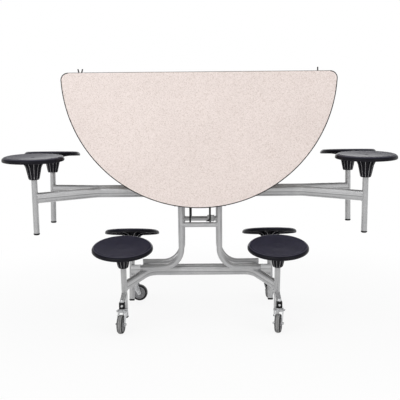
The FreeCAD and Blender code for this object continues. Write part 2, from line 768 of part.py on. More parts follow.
plate_gap = leaf_thickness / 2 + face_gap
hinge_plates = []
for x0 in (hinge_x + plate_gap, hinge_x - plate_gap - hinge_plate_thickness):
    hinge_plates += both_sides(hinge_plate(x0))


def hinge_pin(u):
    end = plate_gap + hinge_plate_thickness
    pin = rod_x(hinge_pin_radius, hinge_x - end - 3, hinge_x + end + 3, u, spine_z)
    for x0 in (hinge_x - end - 3, hinge_x + end):
        pin = pin.fuse(rod_x(hinge_pin_radius + 4, x0, x0 + 3, u, spine_z))
    return pin.removeSplitter()


hinge_pins = both_sides(hinge_pin(hinge_offset)) + both_sides(hinge_pin(-hinge_offset))

half_top = {
    "laminate": [laminate],
    "edge_band": [band],
    "rails": rails,
    "brackets": brackets,
    "pivot_pins": pivot_pins,
}
short_frame = {
    "short_beam": [short_beam],
    "short_uprights": both_sides(short_upright) + [short_bar],
    "short_left_stool": [stool(-short_stool_x, short_stool_u)],
    "short_right_stool": [stool(short_stool_x, short_stool_u)],
    "short_glides": [glide(-short_stool_x, short_stool_u), glide(short_stool_x, short_stool_u)],
    "torsion_bar": [torsion_bar],
}
long_frame = {
    "long_beam": [long_beam],
    "long_uprights": both_sides(long_upright) + [long_bar],
    "long_posts": both_sides(post(long_stool_x, long_stool_u)),
    "long_left_stool": [stool(-long_stool_x, long_stool_u)],
    "long_right_stool": [stool(long_stool_x, long_stool_u)],
    "long_glides": [glide(-long_stool_x, long_stool_u), glide(long_stool_x, long_stool_u)],
}


def save(name, solids):
    shape = solids[0] if len(solids) == 1 else Part.makeCompound(solids)
    shape.exportStep("parts/" + name + ".step")


def half_turn(shape):
    s = shape.copy()
    s.rotate(V(0, 0, 0), AXIS_Z, 180)
    return s


def save_halves(name, solids):
    save("front_" + name, solids)
    opposite = {"_left_": "_right_", "_right_": "_left_"}
    for word, other in opposite.items():
        if word in name:
            name = name.replace(word, other)
            break
    save("rear_" + name, [half_turn(s) for s in solids])


os.makedirs("parts", exist_ok=True)
save("centre_spine", [spine])
save("hinge_plates", hinge_plates)
save("hinge_pins", hinge_pins)
save("front_core", [on_top(front_core)])
save("rear_core", [half_turn(on_top(rear_core))])
save("front_align_pins", [on_top(s) for s in align_pins])
save("rear_catch_plate", [half_turn(on_short(keeper))])
save("rear_catch_hook", [half_turn(on_short(catch_hook))])
for name, solids in half_top.items():
    save_halves(name, [on_top(s) for s in solids])
for name, solids in short_frame.items():
    save_halves(name, [on_short(s) for s in solids])
for name, solids in long_frame.items():
    save_halves(name, [on_long(s) for s in solids])
save_halves("short_posts", short_posts)
save_halves("caster_blocks", both_sides(block))
save_halves("links", both_sides(link(link_x)))

# Front casters trail towards the front, rear ones towards the right and the back
headings = {
    "front_left": (-short_stool_x, block_u, -97.0),
    "front_right": (short_stool_x, block_u, -104.0),
    "rear_left": (-short_stool_x, -block_u, -4.0),
    "rear_right": (short_stool_x, -block_u, 68.0),
}
for corner, (x, u, heading) in headings.items():
    save(corner + "_fork", caster_fork(x, u, heading))
    save(corner + "_tyre", [ring_x(tyre_points, x, u, heading)])
    save(corner + "_hub", [ring_x(hub_points, x, u, heading)])
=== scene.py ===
import json
import math

import bmesh
import bpy
from mathutils import Matrix, Vector


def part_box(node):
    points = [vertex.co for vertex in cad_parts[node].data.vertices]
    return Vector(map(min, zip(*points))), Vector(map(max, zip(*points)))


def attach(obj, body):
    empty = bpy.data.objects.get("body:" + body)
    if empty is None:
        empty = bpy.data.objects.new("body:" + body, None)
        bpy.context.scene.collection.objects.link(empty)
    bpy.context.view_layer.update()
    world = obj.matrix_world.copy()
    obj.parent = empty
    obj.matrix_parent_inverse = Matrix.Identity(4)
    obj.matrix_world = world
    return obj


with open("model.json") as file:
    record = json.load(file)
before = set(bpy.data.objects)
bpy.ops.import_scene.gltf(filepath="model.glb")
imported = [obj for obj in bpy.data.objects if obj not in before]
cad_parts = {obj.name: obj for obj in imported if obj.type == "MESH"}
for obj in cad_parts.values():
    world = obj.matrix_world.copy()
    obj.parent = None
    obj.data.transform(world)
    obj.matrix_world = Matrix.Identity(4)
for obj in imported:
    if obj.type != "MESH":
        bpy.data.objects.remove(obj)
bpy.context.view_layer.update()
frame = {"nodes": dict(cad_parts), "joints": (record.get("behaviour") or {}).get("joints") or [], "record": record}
nodes = frame["nodes"]
joints = {j["name"]: j for j in frame["joints"]}
slot_of = {s["node"]: s["material_slot"] for s in frame["record"]["subparts"]}
scene = bpy.context.scene
HALVES = ("front", "rear")
CASTERS = ("front_left", "front_right", "rear_left", "rear_right")
SIDES = (-1, 1)
UP, DOWN = Vector((0, 0, 1)), Vector((0, 0, -1))
FULL_TURN = 2 * math.pi
MILLIMETRES = Matrix.Scale(0.001, 4)


# Places on the open table, in millimetres: x along the seam, u outward from it, levels from the floor

# For each group of pieces, the joint it turns on and that joint's u and level
PIVOTS = {
    "top": ("fold", 50.0, 663.0),
    "short": ("short_pivot", 628.0, 692.0),
    "long": ("long_pivot", 167.0, 692.0),
}
FOLD = joints["front_fold"]["range_deg"][1]
PIVOT_LEVEL = PIVOTS["short"][2]
SEAM_U, TOP_LEVEL, SEAT_LEVEL = 2.0, 737.0, 422.0
TUBE_RADIUS = 15.9
BEAM_HALF, BEAM_SIDE = 28.5, 15.0  # half the height and half the width of a beam
FOOT_SINK = 1.0  # how far an upright's foot sinks into the beam
# Uprights: x, and u at their top and foot. Crossbar: bar is its level. Beam: its u is beam, its level
# is level and it bends out at x = bend. Stool post: its x and u. Weld: the x range on an upright's foot.
FRAMES = {
    "short": dict(x=106.0, top=628.0, foot=666.0, bar=480.0, bar_radius=14.0, beam=607.0, level=187.0,
                  bend=292.0, post=(417.0, 816.0), weld=(314.0, 336.0)),
    "long": dict(x=170.0, top=167.0, foot=167.0, bar=637.0, bar_radius=11.0, beam=167.0, level=201.0,
                 bend=572.0, post=(884.0, 345.0), weld=(298.0, 326.0)),
}


def folded(half, group):
    """Matrix from the open table (x, minus u, level) to this half's rest pose in metres."""
    joint, u, level = PIVOTS[group]
    pivot = joints["front_" + joint]
    angle = FOLD if group == "top" else FOLD - pivot["range_deg"][1]
    turn = Matrix.Translation(pivot["pos_m"]) @ Matrix.Rotation(math.radians(angle), 4, "X")
    place = turn @ MILLIMETRES @ Matrix.Translation((0, u, -level))
    return place if half == "front" else Matrix.Rotation(math.pi, 4, "Z") @ place


def foot_level(spec):
    """Level of the middle of an upright's foot, which lies on the beam."""
    return spec["level"] + BEAM_HALF + TUBE_RADIUS - FOOT_SINK


# Materials, with sizes in metres

MIX_INPUTS, MIX_RESULT = (0, 6, 7), 2  # the Mix node's sockets for a share and two colours
SEAM_LINE = (0.0022, 0.0030)  # where the laminate's dark cut edge starts and ends its fade
BEAM_REFLECTION_LINES = (0.040, 0.0075)  # reach of the painted reflection streaks from a member's middle, and their size
TUBE_REFLECTION_LINES = (0.017, 0.0055)
RIB_PITCH = 0.0085
TREAD_EDGE = (0.0075, 0.0125)  # where a tyre's pale tread turns into its shoulder, which is darkened as painted shade


class Graph:
    """A node tree whose inputs take plain values and other nodes' outputs alike."""

    def __init__(self, tree):
        self.tree = tree

    def put(self, socket, value):
        if isinstance(value, bpy.types.NodeSocket):
            self.tree.links.new(value, socket)
        else:
            socket.default_value = value

    def node(self, kind, inputs=None, **settings):
        made = self.tree.nodes.new(kind)
        for key, value in settings.items():
            setattr(made, key, value)
        for key, value in (inputs or {}).items():
            self.put(made.inputs[key], value)
        return made

    def math(self, operation, *values):
        made = self.node("ShaderNodeMath", dict(enumerate(values)), operation=operation)
        return made.outputs[0]

    def fade(self, factor, low, high, start=0.0, end=1.0, curve="LINEAR"):
        """A value that goes from low to high while the factor goes from start to end."""
        made = self.node("ShaderNodeMapRange", {"Value": factor, "From Min": start, "From Max": end,
                                                "To Min": low, "To Max": high},
                         interpolation_type=curve)
        return made.outputs["Result"]


class Finish(Graph):
    """A procedural material in the making, with its texture space fixed to the object."""

    def __init__(self, name, metallic=0.0, specular=0.5, coat=0.0, coat_roughness=0.1):
        self.material = bpy.data.materials.new(name)
        self.material.use_nodes = True
        super().__init__(self.material.node_tree)
        self.shader = self.tree.nodes["Principled BSDF"]
        self.set("Metallic", metallic)
        self.set("Specular IOR Level", specular)
        self.set("Coat Weight", coat)
        self.set("Coat Roughness", coat_roughness)
        self.space = self.node("ShaderNodeTexCoord").outputs["Object"]

    def set(self, socket, value):
        self.put(self.shader.inputs[socket], value)

    def stretch(self, x, y, z):
        mapped = self.node("ShaderNodeMapping", {"Vector": self.space, "Scale": (x, y, z)})
        return mapped.outputs["Vector"]

    def mirrored(self):
        """A space in which the front half lies on the rear half, so that one finish serves both."""
        return self.node("ShaderNodeVectorMath", {0: self.space}, operation="ABSOLUTE").outputs[0]

    def along(self, way, point, space=None):
        """Distance from a point, along a direction."""
        way = Vector(way).normalized()
        made = self.node("ShaderNodeVectorMath", {0: space or self.space, 1: way},
                         operation="DOT_PRODUCT")
        return self.math("SUBTRACT", made.outputs["Value"], way.dot(Vector(point)))

    def noise(self, size, detail=3.0, roughness=0.55, space=None):
        """Cloudy noise with features of about this size."""
        made = self.node("ShaderNodeTexNoise", {"Vector": space or self.space, "Scale": 1 / size,
                                                "Detail": detail, "Roughness": roughness})
        return made.outputs["Fac"]

    def cells(self, size, space=None):
        """The node of a cell pattern, for its distances and its random colours."""
        return self.node("ShaderNodeTexVoronoi", {"Vector": space or self.space, "Scale": 1 / size})

    def pick(self, cells, channel=0):
        """A random number for each cell."""
        made = self.node("ShaderNodeSeparateColor", {"Color": cells.outputs["Color"]})
        return made.outputs[channel]

    def ramp(self, factor, stops, hard=False):
        made = self.node("ShaderNodeValToRGB", {"Fac": factor})
        band = made.color_ramp
        band.interpolation = "CONSTANT" if hard else "LINEAR"
        given = list(band.elements)
        for element, (position, colour) in zip(given, stops):
            element.position, element.color = position, (*colour, 1)
        for position, colour in stops[len(given):]:
            band.elements.new(position).color = (*colour, 1)
        return made.outputs["Color"]

    def mix(self, factor, a, b, blend="MIX"):
        made = self.node("ShaderNodeMix", data_type="RGBA", blend_type=blend)
        for index, value in zip(MIX_INPUTS, (factor, a, b)):
            self.put(made.inputs[index], (*value, 1) if isinstance(value, tuple) else value)
        return made.outputs[MIX_RESULT]

    def times(self, colour, tone):
        return self.mix(1.0, colour, tone, "MULTIPLY")

    def bump(self, height, strength, depth, under=None):
        made = self.node("ShaderNodeBump", {"Height": height, "Strength": strength, "Distance": depth})
        if under is not None:
            self.put(made.inputs["Normal"], under)
        return made.outputs["Normal"]

    def worn(self, wear, stops, dull, *skin):
        """The material, with colour and roughness from one pattern of wear and skin as its bumps."""
        self.set("Base Color", self.ramp(wear, stops))
        self.set("Roughness", self.fade(wear, *dull))
        self.set("Normal", self.bump(*skin))
        return self.material


def speckled_laminate():
    """Warm pale laminate with fine brown, grey and white flecks, and a dark cut edge at the seam."""
    f = Finish("speckled_laminate", specular=0.3)
    ground = f.ramp(f.noise(0.35, 2.0), [(0.35, (0.800, 0.703, 0.664)), (0.65, (0.832, 0.733, 0.694))])
    tone = f.ramp(f.pick(f.cells(0.0034)), [
        (0.0, (0.82, 0.79, 0.77)), (0.12, (0.93, 0.92, 0.91)), (0.34, (1.0, 1.0, 1.0)),
        (0.70, (1.045, 1.05, 1.055)), (0.90, (1.10, 1.11, 1.12))], hard=True)
    colour = f.times(ground, tone)
    large = f.cells(0.0058)
    core = f.fade(large.outputs["Distance"], 1.0, 0.0, 0.10, 0.30)
    rare = f.math("MULTIPLY", f.math("GREATER_THAN", f.pick(large, 1), 0.92), core)
    colour = f.mix(f.math("MULTIPLY", rare, 0.12), colour, (0.42, 0.34, 0.31))
    place = folded("rear", "top")
    outward, seam = place.to_3x3() @ Vector((0, -1, 0)), place @ Vector((0, -SEAM_U, TOP_LEVEL))
    from_seam = f.along(outward, seam, f.mirrored())
    colour = f.mix(f.fade(from_seam, 1.0, 0.0, *SEAM_LINE), colour, (0.075, 0.070, 0.060))
    f.set("Base Color", colour)
    f.set("Roughness", f.fade(f.noise(0.06), 0.36, 0.46))
    f.set("Normal", f.bump(f.noise(0.0011, 2.0), 0.12, 0.0004))
    return f.material


def board():
    """Pressed wood chips, as the underside and the cut seam of the core show."""
    f = Finish("board", specular=0.25)
    chip = f.cells(0.0045, f.stretch(0.45, 1.0, 1.0))
    colour = f.ramp(f.pick(chip), [(0.0, (0.17, 0.105, 0.060)), (0.2, (0.30, 0.205, 0.125)),
                                   (0.55, (0.42, 0.305, 0.195)), (0.85, (0.52, 0.40, 0.27))])
    fibre = f.noise(0.0016, 4.0, 0.7, f.stretch(0.25, 1.0, 1.0))
    colour = f.mix(f.fade(fibre, 0.0, 0.45, 0.45, 0.8), colour, (0.14, 0.085, 0.05))
    patch = f.ramp(f.noise(0.18, 2.0), [(0.3, (0.86, 0.86, 0.86)), (0.7, (1.06, 1.06, 1.06))])
    f.set("Base Color", f.times(colour, patch))
    f.set("Roughness", f.fade(fibre, 0.68, 0.9))
    f.set("Normal", f.bump(f.math("ADD", chip.outputs["Distance"], fibre), 0.25, 0.0006))
    return f.material


def black_edge():
    """Extruded vinyl edge, near black, with a few scuffs."""
    f = Finish("black_edge", specular=0.12)
    stops = [(0.45, (0.006, 0.006, 0.0065)), (0.72, (0.018, 0.018, 0.019))]
    scuff = f.noise(0.012, 5.0, 0.7)
    return f.worn(scuff, stops, (0.38, 0.58, 0.3, 0.75), f.noise(0.0009, 2.0), 0.15, 0.0003)


def silver_paint(name="silver_paint", reflection_lines=None):
    """Metallic silver paint with flake glitter and orange peel.

    reflection_lines gives a member painted reflection streaks, light and dark bands along it standing in for
    reflected studio light: a direction across it, a point on its middle, reach and size.
    """
    f = Finish(name, metallic=0.45, specular=0.5, coat=0.25, coat_roughness=0.18)
    flake = f.pick(f.cells(0.0007))
    colour = f.ramp(f.noise(0.05, 3.0), [(0.3, (0.420, 0.421, 0.427)), (0.7, (0.472, 0.472, 0.476))])
    tone = f.ramp(flake, [(0.0, (0.86, 0.86, 0.87)), (0.5, (1.0, 1.0, 1.0)), (1.0, (1.16, 1.16, 1.15))])
    colour = f.times(colour, tone)
    if reflection_lines:
        way, point, reach, size = reflection_lines
        # Painted reflection: light and dark bands along the member, standing in for the strip lights and dark
        # surroundings a glossy tube would reflect.
        across = f.fade(f.along(way, point, f.mirrored()), -reach, reach, -reach, reach)
        line = f.node("ShaderNodeTexNoise", {"W": across, "Scale": 1 / size, "Detail": 1.0},
                      noise_dimensions="1D")
        painted_streak = f.ramp(line.outputs["Fac"], [(0.30, (0.56, 0.56, 0.565)), (0.45, (0.98, 0.98, 0.98)),
                                              (0.55, (1.03, 1.03, 1.03)), (0.70, (1.45, 1.45, 1.44))])
        colour = f.times(colour, painted_streak)
    f.set("Base Color", colour)
    f.set("Roughness", f.fade(f.noise(0.02), 0.29, 0.41))
    peel = f.bump(f.noise(0.0035, 2.0), 0.10, 0.0006)
    f.set("Normal", f.bump(flake, 0.04, 0.0002, peel))
    return f.material


def black_steel():
    """Textured black powder coat."""
    f = Finish("black_steel", specular=0.2)
    stops = [(0.4, (0.008, 0.008, 0.0085)), (0.75, (0.024, 0.024, 0.025))]
    wear = f.noise(0.03, 5.0, 0.65)
    return f.worn(wear, stops, (0.42, 0.62, 0.3, 0.75), f.noise(0.0018, 3.0), 0.35, 0.0005)


def stool_plastic():
    """Navy moulded plastic: a speckled, pebbled seat, a painted highlight ring on the shoulder and painted shade
    on the sides and underside.
    """
    f = Finish("stool_plastic", specular=0.12)
    cloud = f.noise(0.07, 4.0, 0.6)
    ground = f.ramp(cloud, [(0.3, (0.0090, 0.0078, 0.0245)), (0.7, (0.0135, 0.0116, 0.0320))])
    spot = f.ramp(f.pick(f.cells(0.0045)), [(0.0, (0.74, 0.74, 0.76)), (0.5, (1.0, 1.0, 1.0)),
                                            (1.0, (1.40, 1.40, 1.36))])
    seat = f.times(ground, spot)
    normal = f.node("ShaderNodeTexCoord").outputs["Normal"]
    rise = f.node("ShaderNodeSeparateXYZ", {"Vector": normal}).outputs["Z"]
    # Painted shade: the sides and underside, whose normals turn away from up, are darkened to near black.
    colour = f.mix(f.fade(rise, 0.0, 1.0, 0.5, 0.9), (0.0055, 0.0052, 0.0085), seat)
    # Painted highlight: a pale ring on the shoulder where the seat top rolls over into its edge, which is also a
    # little glossier there.
    painted_shoulder_highlight = f.math("MULTIPLY", f.fade(rise, 0.0, 1.0, 0.72, 0.82), f.fade(rise, 1.0, 0.0, 0.84, 0.93))
    colour = f.mix(f.math("MULTIPLY", painted_shoulder_highlight, 0.8), colour, (0.085, 0.083, 0.098))
    f.set("Base Color", colour)
    f.set("Roughness", f.fade(painted_shoulder_highlight, 0.37, 0.32))
    grain = f.bump(f.cells(0.0016).outputs["Distance"], 0.18, 0.0004)
    f.set("Normal", f.bump(f.noise(0.006, 3.0), 0.08, 0.0006, grain))
    return f.material


def stool_edge_highlight():
    """The same navy plastic made pale on thin edges as a painted highlight, its tone varied by noise."""
    f = Finish("stool_plastic_edge_highlight", specular=0.3)
    # Painted highlight colours, far paler than the navy plastic itself.
    stops = [(0.35, (0.20, 0.195, 0.205)), (0.7, (0.42, 0.41, 0.42))]
    return f.worn(f.noise(0.01, 4.0, 0.65), stops, (0.38, 0.55), f.noise(0.0015, 2.0), 0.15, 0.0003)


def zinc():
    """Bright zinc plate with faint spangle and rubbed patches."""
    f = Finish("zinc", metallic=0.8)
    spangle = f.pick(f.cells(0.006))
    cloud = f.noise(0.012, 4.0)
    colour = f.ramp(cloud, [(0.3, (0.42, 0.425, 0.435)), (0.7, (0.66, 0.665, 0.67))])
    f.set("Base Color", f.mix(f.fade(spangle, 0.0, 0.2), colour, (0.50, 0.51, 0.53)))
    f.set("Roughness", f.fade(f.math("ADD", spangle, cloud), 0.2, 0.42, 0.3, 1.6))
    f.set("Normal", f.bump(f.noise(0.0014, 3.0), 0.12, 0.0003))
    return f.material


def tyre_rubber(caster):
    """Grey rubber: a ribbed tread, pale with dust and a painted highlight, with painted shade in its grooves and
    on its shoulders and sides.
    """
    f = Finish(caster + "_tyre_rubber", specular=0.15)
    spin = joints[caster + "_spin"]
    across = f.along(spin["axis"], spin["pos_m"])
    rib = f.math("SINE", f.math("MULTIPLY", across, FULL_TURN / RIB_PITCH))
    dust = f.noise(0.009, 5.0, 0.7)
    # The tread: dust tones varied by noise, set pale as a painted highlight stripe along the tread.
    worn = f.ramp(dust, [(0.3, (0.24, 0.24, 0.243)), (0.55, (0.33, 0.328, 0.325)),
                         (0.8, (0.43, 0.425, 0.415))])
    # Painted shade: the grooves between the ribs are darkened.
    ribbed_with_painted_shade = f.mix(f.fade(rib, 0.0, 0.62, -0.2, 1.0), worn, (0.050, 0.050, 0.052))
    # Painted shade: the shoulders and sides away from the tread are darkened to near black.
    painted_shoulder_shade = f.fade(f.math("ABSOLUTE", across), 0.0, 0.92, *TREAD_EDGE)
    f.set("Base Color", f.mix(painted_shoulder_shade, ribbed_with_painted_shade, (0.018, 0.018, 0.019)))
    f.set("Roughness", f.fade(dust, 0.62, 0.88))
    cut = f.bump(f.fade(rib, 1.0, 0.0, -0.2, 1.0), 0.5, 0.0008)
    f.set("Normal", f.bump(f.noise(0.0012, 4.0, 0.65), 0.35, 0.0005, cut))
    return f.material


def wheel_plastic():
    """Moulded grey wheel centre."""
    f = Finish("wheel_plastic", specular=0.45)
    stops = [(0.3, (0.27, 0.27, 0.28)), (0.7, (0.35, 0.35, 0.36))]
    return f.worn(f.noise(0.015, 3.0), stops, (0.36, 0.52), f.noise(0.001, 2.0), 0.14, 0.0003)


def glide_plastic():
    """Black nylon with a dull, slightly scratched face."""
    f = Finish("glide_plastic", specular=0.12)
    stops = [(0.4, (0.006, 0.006, 0.0065)), (0.75, (0.018, 0.018, 0.019))]
    scratch = f.noise(0.004, 5.0, 0.7, f.stretch(1.0, 4.0, 1.0))
    return f.worn(scratch, stops, (0.45, 0.68, 0.3, 0.75), f.noise(0.0013, 3.0), 0.22, 0.0004)


def pin_steel():
    """Turned bright steel."""
    f = Finish("pin_steel", metallic=1.0)
    stops = [(0.3, (0.50, 0.50, 0.51)), (0.7, (0.66, 0.66, 0.66))]
    turned = f.noise(0.0012, 3.0, 0.6, f.stretch(3.0, 1.0, 1.0))
    return f.worn(turned, stops, (0.18, 0.36), turned, 0.10, 0.0003)


finishes = {make.__name__: make() for make in (
    speckled_laminate, board, black_edge, silver_paint, black_steel, stool_plastic, zinc,
    wheel_plastic, glide_plastic, pin_steel)}
edge_highlight_finish = stool_edge_highlight()
own = {f"{caster}_tyre": tyre_rubber(caster) for caster in CASTERS}
# Each silver member gets its own paint, with painted reflection streaks running along it.
for group, spec in FRAMES.items():
    place = folded("rear", group)
    lean = Vector((0, spec["foot"] - spec["top"], PIVOT_LEVEL - foot_level(spec))).normalized()
    members = {
        "beam": ((0, 0, 1), (0, -spec["beam"], spec["level"]), BEAM_REFLECTION_LINES),
        "uprights": ((0, -lean.z, -lean.y), (0, -spec["top"], PIVOT_LEVEL), TUBE_REFLECTION_LINES),
        "posts": ((0, -1, 0), (0, -spec["post"][1], 0), TUBE_REFLECTION_LINES),
    }
    for member, (way, point, reflection_lines) in members.items():
        reflection_streaks = (place.to_3x3() @ Vector(way), place @ Vector(point), *reflection_lines)
        paint = silver_paint(f"silver_paint_{group}_{member}", reflection_streaks)
        own.update({f"{half}_{group}_{member}": paint for half in HALVES})
for name, obj in nodes.items():
    obj.data.materials.clear()
    obj.data.materials.append(own.get(name) or finishes[slot_of[name]])


# Added pieces

BEAD_SIDES = 8
RIPPLE, RIPPLE_STEP = 0.14, 0.66 * math.pi  # share of a bead's radius, and turn of the wave per point
BEAD_TIP = 0.35  # share of the radius left at the end of an open bead


def circle(count):
    return [FULL_TURN * i / count for i in range(count)]


def looking(direction, spin=0.0):
    """Turn that makes a piece made along +Z look along a direction."""
    way = Vector(direction).to_track_quat("Z", "Y").to_matrix().to_4x4()
    return way @ Matrix.Rotation(spin, 4, "Z")


def set_at(point, direction, spin):
    """Matrix that sets a piece at a point in metres, looking along a direction."""
    return Matrix.Translation(point) @ MILLIMETRES @ looking(direction, spin)


class Piece:
    """One added mesh object, gathered from shapes in millimetres."""

    def __init__(self, name):
        self.name = name
        self.bm = bmesh.new()

    def lathe(self, profile, place, steps, corners=None):
        """A closed shape turned from (radius, height) points; corners makes it a polygon with that many."""
        rings = []
        for radius, z in profile:
            if radius == 0:
                rings.append([self.bm.verts.new(place @ Vector((0, 0, z)))])
                continue
            ring = []
            for a in circle(steps):
                r = radius
                if corners:
                    sector = (a % (FULL_TURN / corners)) - math.pi / corners
                    r = radius * math.cos(math.pi / corners) / math.cos(sector)
                at = Vector((r * math.cos(a), r * math.sin(a), z))
                ring.append(self.bm.verts.new(place @ at))
            rings.append(ring)
        for a, b in zip(rings, rings[1:]):
            for i in range(steps):
                j = (i + 1) % steps
                face = [a[i % len(a)], a[j % len(a)], b[j % len(b)], b[i % len(b)]]
                self.bm.faces.new([v for k, v in enumerate(face) if v not in face[:k]])

    def bead(self, points, radius, place, closed=True):
        """A weld bead along points, its thickness rippled by the passes of the torch."""
        points = [Vector(p) for p in points]
        count = len(points)
        rings = []
        side = None
        for i, p in enumerate(points):
            before = points[(i - 1) % count] if closed or i else p
            after = points[(i + 1) % count] if closed or i < count - 1 else p
            way = (after - before).normalized()
            side = (way.orthogonal() if side is None else side - way * side.dot(way)).normalized()
            up = way.cross(side)
            r = radius * (1 + RIPPLE * math.sin(i * RIPPLE_STEP))
            if not closed and i in (0, count - 1):
                r *= BEAD_TIP
            ring = []
            for a in circle(BEAD_SIDES):
                at = p + side * (r * math.cos(a)) + up * (r * math.sin(a))
                ring.append(self.bm.verts.new(place @ at))
            rings.append(ring)
        for a, b in zip(rings, rings[1:]):
            self.band(a, b)
        if closed:
            a, b = rings[-1], rings[0]
            shift = min(range(BEAD_SIDES), key=lambda s: (a[0].co - b[s].co).length)
            self.band(a, b[shift:] + b[:shift])
        else:
            self.bm.faces.new(rings[0][::-1])
            self.bm.faces.new(rings[-1])

    def band(self, a, b):
        """Faces between two rings with the same number of points."""
        for k in range(len(a)):
            j = (k + 1) % len(a)
            self.bm.faces.new([a[k], a[j], b[j], b[k]])

    def plate(self, outline, thickness, place, edge):
        """A flat plate from an outline in its own X and Z; edge lists the sides in the second finish."""
        sides = [[self.bm.verts.new(place @ Vector((x, s * thickness / 2, z))) for x, z in outline]
                 for s in SIDES]
        self.bm.faces.new(sides[0])
        self.bm.faces.new(sides[1][::-1])
        count = len(outline)
        for i in range(count):
            j = (i + 1) % count
            face = self.bm.faces.new([sides[0][j], sides[0][i], sides[1][i], sides[1][j]])
            face.material_index = 1 if i in edge else 0

    def done(self, body, slot, angle=35.0, second=None):
        """Make the object, sharp where its faces meet at more than angle degrees."""
        bmesh.ops.recalc_face_normals(self.bm, faces=self.bm.faces[:])
        mesh = bpy.data.meshes.new(self.name)
        self.bm.to_mesh(mesh)
        self.bm.free()
        for polygon in mesh.polygons:
            polygon.use_smooth = True
        mesh.set_sharp_from_angle(angle=math.radians(angle))
        obj = bpy.data.objects.new(self.name, mesh)
        scene.collection.objects.link(obj)
        mesh.materials.append(finishes[slot])
        if second:
            mesh.materials.append(second)
        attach(obj, body)


# Weld beads

BAR_BEAD, POST_BEAD, FOOT_BEAD, ARM_BEAD = 2.0, 2.2, 2.3, 1.9  # radius
BAR_POINTS, POST_POINTS, FOOT_POINTS, ARM_POINTS = 40, 56, 15, 48
BEAD_LIFT = 0.4  # from the tube that a bead runs round
BAR_GAP = 0.6  # from the crossbar to the middle of its bead
OVAL_GROWTH, OVAL_SHRINK = 1.02, 0.98  # of the beam's oval, for its bead and for where that meets the post
FOOT_EDGE, FOOT_DEPTH = 7.0, 0.6  # of the beads along an upright's foot, from its middle and the beam's top
ARM_HALF, ARM_LEVEL = 14.2, 139.0  # half the width of the bead round a square arm, and the arm's level


def oval(count):
    """Points round the beam's flat-sided oval: sideways and up."""
    flat = BEAM_HALF - BEAM_SIDE
    for a in circle(count):
        s, z = BEAM_SIDE * math.cos(a), BEAM_SIDE * math.sin(a)
        yield s, z + (flat if z > 0 else -flat)


def bar_ring(spec, side):
    """Where the crossbar meets an upright."""
    bar, top, foot = spec["bar"], spec["top"], spec["foot"]
    u = top + (foot - top) * (PIVOT_LEVEL - bar) / (PIVOT_LEVEL - foot_level(spec))
    radius = spec["bar_radius"] + BAR_GAP
    for a in circle(BAR_POINTS):
        du = radius * math.cos(a)
        x = spec["x"] - math.sqrt(TUBE_RADIUS ** 2 - du ** 2) - BEAD_LIFT
        yield side * x, -u - du, bar + radius * math.sin(a)


def post_ring(spec, side):
    """Where the end of the beam meets a stool post."""
    x, u = spec["post"]
    along = Vector((x - spec["bend"], spec["beam"] - u, 0)).normalized()
    across = Vector((along.y, -along.x, 0))
    for s, z in oval(POST_POINTS):
        back = math.sqrt(TUBE_RADIUS ** 2 - (s * OVAL_SHRINK) ** 2) + BEAD_LIFT
        at = Vector((x, -u, spec["level"] + z * OVAL_GROWTH)) - along * back + across * s * OVAL_GROWTH
        yield side * at.x, at.y, at.z


def foot_lines(spec, side):
    """The two lines along which the foot of an upright lies on the beam."""
    start, end = spec["weld"]
    level = spec["level"] + BEAM_HALF - FOOT_DEPTH
    for edge in (-FOOT_EDGE, FOOT_EDGE):
        yield [(side * (start + (end - start) * i / (FOOT_POINTS - 1)), -spec["foot"] - edge, level)
               for i in range(FOOT_POINTS)]


def arm_ring(side):
    """Where a square caster arm meets the post of a short frame."""
    x, u = FRAMES["short"]["post"]
    for a in circle(ARM_POINTS):
        reach = ARM_HALF / max(abs(math.cos(a)), abs(math.sin(a)))
        s, z = reach * math.cos(a), reach * math.sin(a)
        back = math.sqrt(TUBE_RADIUS ** 2 - s ** 2) + BEAD_LIFT
        yield side * x + s, -u - back, ARM_LEVEL + z


for half in HALVES:
    for group, spec in FRAMES.items():
        place = folded(half, group)
        welds = Piece(f"{half}_{group}_welds")
        for side in SIDES:
            welds.bead(bar_ring(spec, side), BAR_BEAD, place)
            welds.bead(post_ring(spec, side), POST_BEAD, place)
            for line in foot_lines(spec, side):
                welds.bead(line, FOOT_BEAD, place, closed=False)
        welds.done(half + "_" + group + "_frame", "silver_paint")

    place = folded(half, "short")
    arms = Piece(half + "_arm_welds")
    for side in SIDES:
        arms.bead(arm_ring(side), ARM_BEAD, place)
    arms.done(half + "_short_frame", "silver_paint")


# Screws, bolts, plugs, marks and caps, turned from (radius, height) points

WASHER_TOP = 1.2
PAN_HEAD = [(0, 1.1), (1.3, 1.1), (1.6, 3.0), (3.6, 2.5), (4.6, 1.5), (4.9, 0.4), (4.9, -0.6), (0, -0.6)]
HEX_HEAD = [(0, 4.6), (4.6, 4.6), (5.6, 4.1), (5.8, 3.6), (5.8, 0.0), (0, -0.4)]
WASHER = [(0, WASHER_TOP), (6.0, WASHER_TOP), (6.5, 0.8), (6.5, -0.2), (0, -0.2)]
GATE_MARK = [(0, 0.1), (7.5, 0.1), (8.2, 0.5), (9.4, 0.6), (10.3, 0.3), (10.8, -0.4), (0, -0.4)]
SPINE_PLUG = [(0, 3.4), (12.0, 3.3), (22.0, 2.8), (26.5, 1.6), (28.0, 0.2), (28.0, 0.0), (24.0, 0.0),
              (23.4, -9.0), (0, -9.0)]
